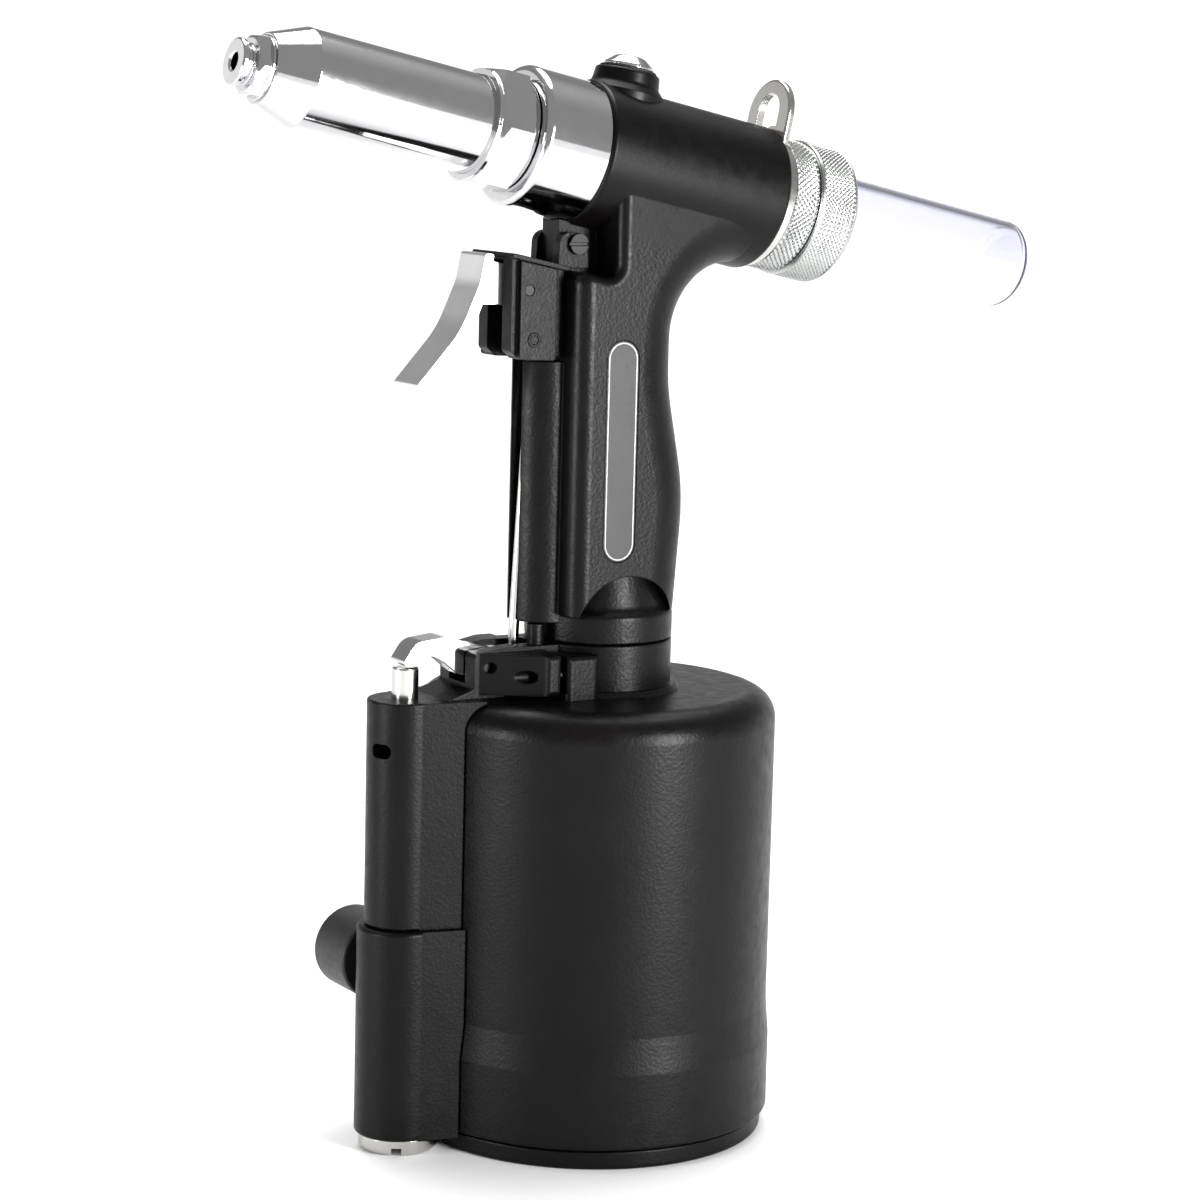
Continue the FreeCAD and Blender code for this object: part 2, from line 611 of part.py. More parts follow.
def pull_rod_at(z):
    """The point on the pull rod's axis at height z."""
    top_x = TRIGGER_PIN[0] - TRIGGER_ARM
    slope = (ROD_LOW[0] - top_x) / (ROD_LOW[1] - TRIGGER_PIN[1])
    return V(top_x + slope * (z - TRIGGER_PIN[1]), 0, z)


def rod_between(radius, z_low, z_high):
    """Cylinder on the pull rod's axis."""
    low, high = pull_rod_at(z_low), pull_rod_at(z_high)
    return Part.makeCylinder(radius, low.distanceToPoint(high), low, high - low)


def trigger_rod():
    """Thin pull rod from the trigger's arm down to the valve lever, with an eye on top."""
    top = pull_rod_at(TRIGGER_PIN[1])
    eye = rod_y(2.4, top.x, top.z, -1.3, 1.3)
    shank = rod_between(PULL_ROD_R, ROD_END_Z, top.z)
    return shank.fuse(eye).cut(rod_y(ROD_PIN_R + 0.02, top.x, top.z, -3, 3))


def rod_pin():
    return rod_y(ROD_PIN_R, TRIGGER_PIN[0] - TRIGGER_ARM, TRIGGER_PIN[1], -WEB_HALF_WIDTH,
                 WEB_HALF_WIDTH)


def rod_nut():
    """Nut on the rod's lower end that lifts the lever."""
    low, high = ROD_NUT_Z
    nut = hexagon(ROD_NUT_FLATS, low, high)
    nut.rotate(V(), V(0, 1, 0), -90)
    nut.translate(V(pull_rod_at(high).x, 0, 0))
    return nut.cut(rod_between(PULL_ROD_R + 0.02, low - 3.0, high + 3.0))


def lever():
    """Rocker that turns the rod's pull into a push on the valve pin."""
    px, pz = LEVER_PIN
    body = side_plate([
        (56.0, 119.0, 0.9), (54.0, 118.45, 0.9), (51.6, 118.9, 0.9), (48.6, 121.2, 3.0),
        (45.2, 119.4, 3.0), (40.5, 115.6, 3.0), (px, 114.6, 3.0), (31.5, 117.4, 2.0),
        (20.3, 118.2, 1.0), (20.3, 121.1, 1.0), (32.0, 121.7, 6.0), (37.5, 122.8, 6.0),
        (43.6, 125.2, 6.0), (52.4, 124.2, 4.5)], -LEVER_HALF_WIDTH, LEVER_HALF_WIDTH)
    hollow = side_plate([
        (49.6, 118.4), (47.4, 121.8, 1.5), (44.6, 122.9, 1.5), (41.0, 120.6, 2.0),
        (40.4, 114.0)], -LEVER_HALF_WIDTH + 1.3, LEVER_HALF_WIDTH - 1.3)
    rod_hole = plan_plate([(21.6, -1.8, 1.7), (26.8, -1.8, 1.7), (26.8, 1.8, 1.7),
                           (21.6, 1.8, 1.7)], 110, 130)
    return body.cut([hollow, rod_hole, rod_y(LEVER_PIN_R + RUN, px, pz, -9, 9)])


def lever_pin():
    return rod_y(LEVER_PIN_R, LEVER_PIN[0], LEVER_PIN[1], -ARM_HALF_WIDTH + 0.4,
                 ARM_HALF_WIDTH - 0.4)


# ---- valve -----------------------------------------------------------------------------------


def valve_section(front_r, back_half, z_low, z_high, edge):
    """Column with a round front whose flanks flare back to the cylinder."""
    column = turned_up([(0, z_low), (front_r, z_low, edge), (front_r, z_high, edge),
                        (0, z_high)], VALVE_X)
    flank = plan_plate([(38.0, -back_half - 0.8), (VALVE_X, -front_r), (VALVE_X, front_r),
                        (38.0, back_half + 0.8)], z_low, z_high)
    return column.fuse(flank)


def cylinder_envelope(grow):
    """The air cylinder's outer form, grown, to keep the valve housing clear of it."""
    r = CYL_UPPER_R + grow
    return turned_up([
        (0, -5), (CYL_R + grow, -5), (CYL_R + grow, BAND_Z[0]), (r, BAND_Z[1]),
        (r, CYL_TOP_Z + grow, CYL_SHOULDER_R + grow), (0, CYL_TOP_Z + grow)])


def ear(x, z, side):
    """Upright block beside the neck, on one side, with its outer edges rounded."""
    body = box(x, LUG_Y, z)
    outer = [e for e in body.Edges if e.BoundBox.YMin > LUG_Y[1] - 0.1]
    body = body.makeFillet(1.4, outer)
    if side < 0:
        body = body.mirror(V(), V(0, 1, 0))
    return body


def clamp_hole(side):
    """Hole for a clamp screw through the ear and into the neck's lug."""
    y, z = CLAMP_SCREW
    return Part.makeCylinder(CLAMP_SCREW_R + RUN, 20.0, V(CLAMP_END_X - RUN, side * y, z), V(1, 0, 0))


def valve_upper_housing():
    """Upper valve body, cast in one with the arm that bears against the cylinder's neck."""
    column = valve_section(VALVE_UPPER_R, VALVE_UPPER_BACK, VALVE_SPLIT_Z, VALVE_TOP_Z, 0.6)
    back = box((34.0, 43.8), (-ARM_HALF_WIDTH, ARM_HALF_WIDTH), (90.0, VALVE_TOP_Z))
    arm = side_plate([
        (46.5, VALVE_TOP_Z - 0.05), (39.2, 112.8, 1.0), (39.2, 121.3, 1.4), (30.0, 122.3, 8.0),
        (14.0, 122.1), (14.0, 111.6), (30.0, 111.6), (40.0, 100.0), (46.5, 100.0)],
        -ARM_HALF_WIDTH, ARM_HALF_WIDTH)
    flare_y = LUG_Y[1] - 1.2
    flare = plan_plate([
        (38.0, -ARM_HALF_WIDTH), (38.0, ARM_HALF_WIDTH), (EAR_X[1], flare_y), (EAR_X[0], flare_y),
        (EAR_X[0], -flare_y), (EAR_X[1], -flare_y)], EAR_Z[0], EAR_Z[1])
    ears = [ear(EAR_X, EAR_Z, side) for side in (1, -1)]
    post = rod_z(2.1, 20.9, 5.4, 119.0, 127.2)
    body = column.fuse([back, arm, flare, post] + ears)
    channel = box((19.6, 70.0), (-LEVER_HALF_WIDTH - 0.4, LEVER_HALF_WIDTH + 0.4), (113.6, 130.0))
    window_turn = 24.0
    window = box((0, 12.0), (-1.1, 1.1), (97.1, 100.5))
    for side in (-1.1, 1.1):
        window = window.fuse(Part.makeCylinder(1.7, 12.0, V(0, side, 98.8), V(1, 0, 0)))
    window.rotate(V(), V(0, 0, 1), window_turn)
    window.translate(V(VALVE_X, 0, 0))
    hollows = [
        cylinder_envelope(0.4), channel, window.removeSplitter(),
        rod_z(NECK_R + 0.1, 0, 0, 100.0, 130.0),
        rod_y(LEVER_PIN_R + 0.02, LEVER_PIN[0], LEVER_PIN[1], -12, 12),
        rod_z(PUSHER_R + RUN, VALVE_X, 0, 100.0, 115.0),
        rod_z(VALVE_BORE_R, VALVE_X, 0, VALVE_SPLIT_Z - 1, 104.0)]
    hollows += [clamp_hole(side) for side in (1, -1)]
    return body.cut(hollows).removeSplitter()


def valve_lower_housing():
    groove_r, groove_z = HOUSING_GROOVE
    body = valve_section(VALVE_LOWER_R, VALVE_LOWER_BACK, VALVE_LOW_Z, VALVE_SPLIT_Z - 0.1, 1.0)
    hollows = [
        cylinder_envelope(0.4),
        rod_z(VALVE_BORE_R, VALVE_X, 0, 0.0, 60.0),
        rod_z(7.6, VALVE_X, 0, 0.0, 16.0),
        rod_y(4.58, VALVE_X, INLET_Z, -20.0, 0.0),
        rod_y(INLET_R + 0.6, VALVE_X, INLET_Z, -14.0, INLET_Y[1] + GAP),
        turned_up([(r, z) for r, z in zip(
            (groove_r[0], groove_r[1], groove_r[1], groove_r[0]),
            (groove_z[0], groove_z[0], groove_z[1], groove_z[1]))], VALVE_X)]
    return body.cut(hollows).removeSplitter()


def clamp_screws():
    """The two headless screws that hold the valve's ears to the lugs beside the neck."""
    y, z = CLAMP_SCREW
    screws = []
    for side in (1, -1):
        length = EAR_X[1] - 0.1 - CLAMP_END_X
        shank = Part.makeCylinder(CLAMP_SCREW_R, length, V(CLAMP_END_X, side * y, z), V(1, 0, 0))
        socket = hexagon(1.6, EAR_X[1] - 1.6, EAR_X[1])
        socket.translate(V(0, side * y, z))
        screws.append(shank.cut(socket))
    return Part.makeCompound(screws)


def valve_pusher():
    low = SPOOL_TOP_Z + 0.1
    return turned_up([(0, low), (PUSHER_R, low), (PUSHER_R, PUSHER_TOP_Z, 0.6),
                      (0, PUSHER_TOP_Z)], VALVE_X)


def valve_spool():
    """Spool with three lands; grooves between them carry seal rings."""
    land = VALVE_BORE_R - RUN
    first = SPOOL_LANDS[0][0]
    points = [(0, first - 4.0), (2.4, first - 4.0), (2.4, first), (land, first)]
    for low, high in SPOOL_LANDS:
        if low > first:
            points += [(3.0, low), (land, low)]
        middle = (low + high) / 2
        points += [(land, middle - 1.1), (4.4, middle - 1.1), (4.4, middle + 1.1),
                   (land, middle + 1.1), (land, high)]
        if high < SPOOL_TOP_Z:
            points.append((3.0, high))
    points.append((0, SPOOL_TOP_Z))
    return turned_up(points, VALVE_X)


def spool_seals():
    """A ring in each land's groove."""
    middles = [(low + high) / 2 for low, high in SPOOL_LANDS]
    return Part.makeCompound([Part.makeTorus(5.2, 0.72, V(VALVE_X, 0, z), V(0, 0, 1)) for z in middles])


def valve_spring():
    spring = coil(4.2, 0.55, SPOOL_LANDS[0][0] - 0.1 - SPRING_SEAT_Z, 8)
    spring.translate(V(VALVE_X, 0, SPRING_SEAT_Z))
    return spring


def valve_plug():
    """Screw plug under the valve, with a wide screwdriver slot."""
    rim_z = VALVE_LOW_Z - 0.05
    plug = turned_up([(0, 0.4), (9.6, 0.4, 1.0), (9.6, rim_z), (7.55, rim_z), (7.55, 15.0), (0, 15.0)],
                     VALVE_X)
    slot = box((VALVE_X - 15.0, VALVE_X + 15.0), (-1.2, 1.2), (-1.0, 2.2))
    slot.rotate(V(VALVE_X, 0, 0), V(0, 0, 1), 60)
    guide = rod_z(2.6, VALVE_X, 0, 14.9, SPRING_SEAT_Z - 0.1)
    return plug.fuse(guide).removeSplitter().cut(slot)


def housing_seal():
    """Square-section ring that fills its groove between the two housings."""
    (inner, outer), (low, _) = HOUSING_GROOVE
    high = VALVE_SPLIT_Z - 0.15
    return turned_up([(inner + RUN, low + RUN), (outer - RUN, low + RUN, 0.3),
                      (outer - RUN, high, 0.3), (inner + RUN, high)], VALVE_X)


def inlet_stem():
    """Hollow stem that the inlet turns on."""
    body = rod_y(4.55, VALVE_X, INLET_Z, -17.4, -5.6)
    body = body.fuse(rod_y(5.5, VALVE_X, INLET_Z, -19.4, -17.4))
    bore = rod_y(2.6, VALVE_X, INLET_Z, -20.0, 0.0)
    key = rod_y(3.2, VALVE_X, INLET_Z, -20.0, -17.2)
    return body.removeSplitter().cut([bore, key]).cut(rod_z(VALVE_BORE_R, VALVE_X, 0, 30, 60))


def inlet_swivel():
    """Round body with the inlet thread, a relief groove for the stem's head and a shoulder."""
    outer_y, inner_y = INLET_Y
    body = Part.Face(rounded_wire([
        (4.6, INLET_SHOULDER_Y), (6.3, INLET_SHOULDER_Y), (6.3, INLET_THREAD_Y),
        (INLET_THREAD_R, INLET_THREAD_Y), (INLET_THREAD_R, outer_y), (INLET_R, outer_y, 1.2),
        (INLET_R, inner_y, 0.8), (4.6, inner_y)], flat)).revolve(V(), V(0, 1, 0), 360)
    body.translate(V(VALVE_X, 0, INLET_Z))
    return body


# ---- air cylinder ----------------------------------------------------------------------------


def air_cylinder():
    seam = COVER_TOP_Z + 0.05
    shell = turned_up([
        (COVER_R - 0.8, seam), (COVER_R - 0.8, seam + 0.6), (CYL_R, seam + 0.6, 0.8),
        (CYL_R, BAND_Z[0], 3.0), (CYL_UPPER_R, BAND_Z[1], 3.0),
        (CYL_UPPER_R, CYL_TOP_Z, CYL_SHOULDER_R), (20.4, CYL_TOP_Z), (19.6, 111.2),
        (NECK_R, 111.2), (NECK_R, NECK_SPLIT_Z - 0.3, 0.5),
        (SPIGOT_LOW_R + 0.03, NECK_SPLIT_Z - 0.3), (SPIGOT_LOW_R + 0.03, CYL_CEILING_Z),
        (CYL_BORE_R, CYL_CEILING_Z, 4.0), (CYL_BORE_R, seam)])
    lugs = [ear(NECK_LUG_X, (CYL_TOP_Z - 2.0, NECK_LUG_TOP_Z), side) for side in (1, -1)]
    return shell.fuse(lugs).removeSplitter().cut([clamp_hole(side) for side in (1, -1)])


def base_cover():
    body = turned_up([
        (0, 0), (COVER_R, 0, 1.2), (COVER_R, COVER_TOP_Z, 0.3), (CYL_BORE_R - 0.03, COVER_TOP_Z),
        (CYL_BORE_R - 0.03, 6.4), (39.9, 6.4), (39.9, 8.8), (CYL_BORE_R - 0.03, 8.8),
        (CYL_BORE_R - 0.03, 11.0), (36.0, 11.0), (36.0, 5.0, 1.0), (0, 5.0)])
    holes = []
    for k in range(4):
        turn = math.radians(45 + 90 * k)
        holes.append(rod_z(3.0, 30.0 * math.cos(turn), 30.0 * math.sin(turn), -1.0, 3.0))
    return body.cut(holes)


def base_seal():
    return Part.makeTorus(40.65, 0.75, V(0, 0, 7.6), V(0, 0, 1))


def air_piston():
    low, high = PISTON_Z
    face = CYL_BORE_R - RUN
    return turned_up([
        (3.6, low + 4.0), (8.0, low + 4.0), (8.0, low, 0.6), (face, low, 0.8),
        (face, low + 6.0), (38.0, low + 6.0), (38.0, low + 10.0), (face, low + 10.0),
        (face, high - 4.0, 0.8), (14.0, high - 4.0, 2.0), (10.0, high, 1.0),
        (ROD_R + 0.02, high), (ROD_R + 0.02, low + 12.0), (3.6, low + 12.0)])


def piston_seal():
    low = PISTON_Z[0]
    return turned_up([(38.1, low + 6.1), (CYL_BORE_R - RUN, low + 6.1, 0.6),
                      (CYL_BORE_R - RUN, low + 9.9, 0.6), (38.1, low + 9.9)])


def piston_rod():
    low = PISTON_Z[0]
    return turned_up([(0, low + 0.6), (3.5, low + 0.6), (3.5, low + 12.1), (ROD_R, low + 12.1),
                      (ROD_R, ROD_TOP_Z, 1.2), (0, ROD_TOP_Z)])


def piston_nut():
    low = PISTON_Z[0]
    nut = hexagon(11.0, low + 0.7, low + 3.9)
    nut.rotate(V(), V(0, 1, 0), -90)
    return nut.cut(rod_z(3.52, 0, 0, 0, 40))


def rod_gland():
    """Bush that screws up into the handle, clamps the cylinder to it and seals the rod."""
    bore = ROD_R + RUN
    return turned_up([
        (bore, 98.5), (17.0, 98.5, 0.6), (17.0, CYL_CEILING_Z - 0.05),
        (GLAND_THREAD_R - 0.03, CYL_CEILING_Z - 0.05), (GLAND_THREAD_R - 0.03, 127.5),
        (bore, 127.5), (bore, 121.0), (7.3, 121.0), (7.3, 117.4), (bore, 117.4)])


def gland_seal():
    return turned_up([(ROD_R + RUN, 117.5), (7.2, 117.5, 0.4), (7.2, 120.9, 0.4),
                      (ROD_R + RUN, 120.9)])


def bumper():
    return turned_up([(7.0, 95.4, 0.8), (16.0, 95.4, 0.8), (16.0, 98.45), (7.0, 98.45)])


def head_piston_seal():
    return ring_on_barrel(10.85, 1.02, -2.0)


def front_rod_seal():
    return ring_on_barrel(8.25, 1.1, 13.5)


def return_spring():
    return coil_on_barrel(9.3, 1.1, -37.9, -6.1, 6)


def collector_seal():
    return ring_on_barrel(10.85, 0.72, -55.2)


NODES = {
    "nosepiece": nosepiece, "jaw_housing": jaw_housing, "hex_lock_nut": hex_lock_nut,
    "front_collar": front_collar, "jaw_case": jaw_case, "jaw_pusher": jaw_pusher,
    "jaw_spring": jaw_spring, "head_piston": head_piston, "head_piston_seal": head_piston_seal,
    "front_rod_seal": front_rod_seal, "mandrel_tube": mandrel_tube,
    "return_spring": return_spring, "rear_cap": rear_cap, "suspension_ring": suspension_ring,
    "rear_lock_ring": rear_lock_ring, "collector_cap": collector_cap,
    "collector_seal": collector_seal, "mandrel_bottle": mandrel_bottle,
    "handle_casting": handle_casting, "label_plate": label_plate, "oil_screw": oil_screw,
    "oil_screw_washer": oil_screw_washer, "trigger": trigger, "trigger_holder": trigger_holder,
    "holder_screw": holder_screw, "trigger_pin": trigger_pin, "trigger_rod": trigger_rod,
    "rod_pin": rod_pin, "rod_nut": rod_nut, "lever": lever, "lever_pin": lever_pin,
    "valve_upper_housing": valve_upper_housing, "valve_lower_housing": valve_lower_housing,
    "housing_seal": housing_seal, "clamp_screws": clamp_screws, "valve_pusher": valve_pusher,
    "valve_spool": valve_spool, "spool_seals": spool_seals, "valve_spring": valve_spring,
    "valve_plug": valve_plug, "inlet_stem": inlet_stem, "inlet_swivel": inlet_swivel,
    "air_cylinder": air_cylinder, "base_cover": base_cover, "base_seal": base_seal,
    "air_piston": air_piston, "piston_seal": piston_seal, "piston_rod": piston_rod,
    "piston_nut": piston_nut, "rod_gland": rod_gland, "gland_seal": gland_seal,
    "bumper": bumper,
}


def main():
    os.makedirs("parts", exist_ok=True)
    shapes = {name: build() for name, build in NODES.items()}
    for k in range(3):
        shapes["jaw_%d" % (k + 1)] = jaw(k)
    for name, shape in shapes.items():
        print(name, len(shape.Solids), shape.isValid(), round(shape.Volume, 1))
        shape.exportStep("parts/%s.step" % name)


main()
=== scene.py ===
import bpy
import json
import math
from mathutils import Matrix, Vector

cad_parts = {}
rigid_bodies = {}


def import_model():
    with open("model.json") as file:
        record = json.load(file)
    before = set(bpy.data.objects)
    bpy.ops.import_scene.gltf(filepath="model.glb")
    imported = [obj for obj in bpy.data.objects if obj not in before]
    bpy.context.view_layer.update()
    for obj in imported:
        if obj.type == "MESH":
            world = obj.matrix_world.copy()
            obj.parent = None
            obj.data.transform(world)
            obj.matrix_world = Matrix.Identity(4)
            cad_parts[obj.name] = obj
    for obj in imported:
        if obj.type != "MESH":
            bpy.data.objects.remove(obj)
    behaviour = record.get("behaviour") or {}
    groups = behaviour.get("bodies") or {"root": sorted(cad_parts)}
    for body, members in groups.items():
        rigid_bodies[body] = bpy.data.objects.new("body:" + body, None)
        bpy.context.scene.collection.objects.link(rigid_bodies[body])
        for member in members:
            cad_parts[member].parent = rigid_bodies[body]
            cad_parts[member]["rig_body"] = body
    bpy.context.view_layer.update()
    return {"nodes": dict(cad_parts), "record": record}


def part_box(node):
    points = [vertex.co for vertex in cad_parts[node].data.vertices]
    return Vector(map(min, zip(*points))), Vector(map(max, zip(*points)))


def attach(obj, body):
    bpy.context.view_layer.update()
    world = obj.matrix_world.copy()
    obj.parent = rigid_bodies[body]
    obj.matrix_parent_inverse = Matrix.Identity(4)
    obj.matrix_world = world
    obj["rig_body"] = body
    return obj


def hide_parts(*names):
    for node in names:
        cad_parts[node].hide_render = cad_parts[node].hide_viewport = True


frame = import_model()
NODES = frame["nodes"]
MM = 0.001

# ---- the barrel's own axes: s along it towards the nose, y to the left, t square to it, upwards --------
TILT = math.radians(12.0)
AXIS = Vector((math.cos(TILT), 0.0, math.sin(TILT)))
UP_T = Vector((-math.sin(TILT), 0.0, math.cos(TILT)))
AXIS_POINT = Vector((0.0, 0.0, 237.5)) * MM

# ---- the knurled rings, the same as the CAD rings that they stand for, in mm ---------------------------
LOCK_RING = {"s": (-44.0, -51.5), "r": 16.4, "bore": 13.0}
CAP = {"s": (-51.8, -63.0), "r": 16.9, "bottle_r": 11.39, "tail_r": 10.05, "seat_s": -58.6}
LABEL = {"x": 4.3, "z": 169.0, "half_length": 26.5, "radius": 4.35}

# ---- camera and studio ------------------------------------------------------------------------------
CAMERA = {"yaw": 58.371, "pitch": 8.879, "roll": 1.461, "distance": 0.8, "target": (-0.00044, 0.0, 0.13073),
          "lens_mm": 97.92, "sensor_mm": 36.0}
LAMP_AIM = Vector((0.0, 0.0, 0.13))
# azimuths are counted from the camera's own, in degrees; distances and sizes are in metres
SKY = {"azimuth": 180.0, "elevation": 68.0, "spread": 50.0, "strength": 2.6}
SOFTBOXES = {
    "right_box": {"azimuth": 47.0, "distance": 1.1, "height": 0.27, "size": (0.24, 0.54), "radiance": 40.0},
    "left_box": {"azimuth": -60.0, "distance": 1.1, "height": 0.16, "size": (0.34, 0.4), "radiance": 14.0},
}
# the backdrop's brightness by the height of the view line, from the horizon at 0 to straight up at 1
BACKDROP = [(0.0, 1.05), (0.17, 1.05), (0.3, 0.3), (0.6, 0.3), (0.8, 0.6), (1.0, 0.7)]
CAMERA_SIDE = 0.36


def on_barrel(s, y, t):
    """A point given in mm along the barrel's axes, in the row frame."""
    return AXIS_POINT + (AXIS * s + Vector((0.0, 1.0, 0.0)) * y + UP_T * t) * MM


# ---- meshes ------------------------------------------------------------------------------------------


def make_piece(name, points, faces, material, body, replaced=(), smooth_angle=35.0):
    mesh = bpy.data.meshes.new(name)
    mesh.from_pydata([tuple(p) for p in points], [], faces)
    mesh.validate()
    mesh.update()
    piece = bpy.data.objects.new(name, mesh)
    bpy.context.scene.collection.objects.link(piece)
    mesh.materials.append(material)
    mesh.shade_smooth()
    mesh.set_sharp_from_angle(angle=math.radians(smooth_angle))
    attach(piece, body)
    if replaced:
        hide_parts(*replaced)
    return piece


def turned(profile, segments, relief=None):
    """Points and faces of a closed (s, r) profile turned about the barrel's axis.

    relief(turn, s) is how far below the profile's radius a point lies, at the stations marked True.
    """
    points = []
    for s, r, marked in profile:
        for k in range(segments):
            turn = 2 * math.pi * k / segments
            radius = r - (relief(turn, s) if marked and relief else 0.0)
            points.append(on_barrel(s, -radius * math.sin(turn), radius * math.cos(turn)))
    faces = []
    rows = len(profile)
    for i in range(rows):
        a, b = i * segments, ((i + 1) % rows) * segments
        for k in range(segments):
            n = (k + 1) % segments
            faces.append((a + k, b + k, b + n, a + n))
    return points, faces


def knurl(radius, pitch, depth, s_from, s_to, fade):
    """Relief of diamonds cut by two crossing sets of helical grooves."""
    count = round(2 * math.pi * radius / pitch)

    def relief(turn, s):
        across = turn * count / (2 * math.pi)
        along = s / pitch
        height = 1.0
        for phase in (across + along, across - along):
            height = min(height, 1.0 - abs(2.0 * (phase % 1.0) - 1.0))
        height = min(1.0, height * 1.35)
        edge = min(abs(s - s_from), abs(s - s_to)) / fade
        return depth * (1.0 - height) * min(1.0, edge)

    return relief, count


def knurl_stations(s_from, s_to, r, pitch, per_pitch):
    steps = max(4, round(abs(s_to - s_from) / pitch * per_pitch))
    return [(s_from + (s_to - s_from) * i / steps, r, True) for i in range(steps + 1)]


def lock_ring(material):
    front, rear = LOCK_RING["s"]
    r, bore, chamfer, pitch = LOCK_RING["r"], LOCK_RING["bore"], 0.45, 1.5
    relief, count = knurl(r, pitch, 0.42, front - chamfer, rear + chamfer, 0.25)
    profile = [(front, bore, False), (front, r - chamfer, False)]
    profile += knurl_stations(front - chamfer, rear + chamfer, r, pitch, 8)
    profile += [(rear, r - chamfer, False), (rear, bore, False)]
    points, faces = turned(profile, count * 8, relief)
    return make_piece("knurled_lock_ring", points, faces, material, NODES["rear_lock_ring"]["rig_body"],
                      ("rear_lock_ring",))


def collector_cap(material):
    front, rear = CAP["s"]
    r, pitch = CAP["r"], 1.15
    shoulder, lip = 0.7, 1.0
    relief, count = knurl(r, pitch, 0.3, front - shoulder, rear + lip, 0.25)
    profile = [(front, CAP["tail_r"], False), (front, r - 0.5, False), (front - 0.2, r - 0.15, False)]
    profile += knurl_stations(front - shoulder, rear + lip, r, pitch, 7)
    profile += [(rear + lip * (1 - math.sin(a)), r - lip * (1 - math.cos(a)), False)
                for a in (math.radians(30), math.radians(60), math.radians(90))]
    profile += [(rear, CAP["bottle_r"], False), (CAP["seat_s"], CAP["bottle_r"], False),
                (CAP["seat_s"], CAP["tail_r"], False)]
    points, faces = turned(profile, count * 7, relief)
    return make_piece("knurled_collector_cap", points, faces, material, NODES["collector_cap"]["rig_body"],
                      ("collector_cap",))


def stadium(half_straight, radius, steps):
    """Points round an upright stadium, as (x, z) about its middle."""
    ring = []
    for end, start in ((1, 0.0), (-1, math.pi)):
        for i in range(steps + 1):
            a = start + math.pi * i / steps
            ring.append((radius * math.cos(a), end * half_straight + radius * math.sin(a)))
    return ring


def label_border(material):
    """The thin raised line round the label's edge."""
    face_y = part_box("label_plate")[1].y / MM
    half = LABEL["half_length"] - LABEL["radius"]
    width, height = 0.32, 0.05
    inset = 0.35
    rings = []
    for radius, y in ((LABEL["radius"] - inset, face_y - 0.02), (LABEL["radius"] - inset, face_y + height),
                      (LABEL["radius"] - inset - width, face_y + height),
                      (LABEL["radius"] - inset - width, face_y - 0.02)):
        rings.append([Vector((LABEL["x"] + x, y, LABEL["z"] + z)) * MM for x, z in stadium(half, radius, 24)])
    count = len(rings[0])
    points = [p for ring in rings for p in ring]
    faces = []
    for i in range(4):
        a, b = i * count, ((i + 1) % 4) * count
        for k in range(count):
            n = (k + 1) % count
            faces.append((a + k, a + n, b + n, b + k))
    return make_piece("label_border", points, faces, material, NODES["label_plate"]["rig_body"], ())


# ---- materials ---------------------------------------------------------------------------------------


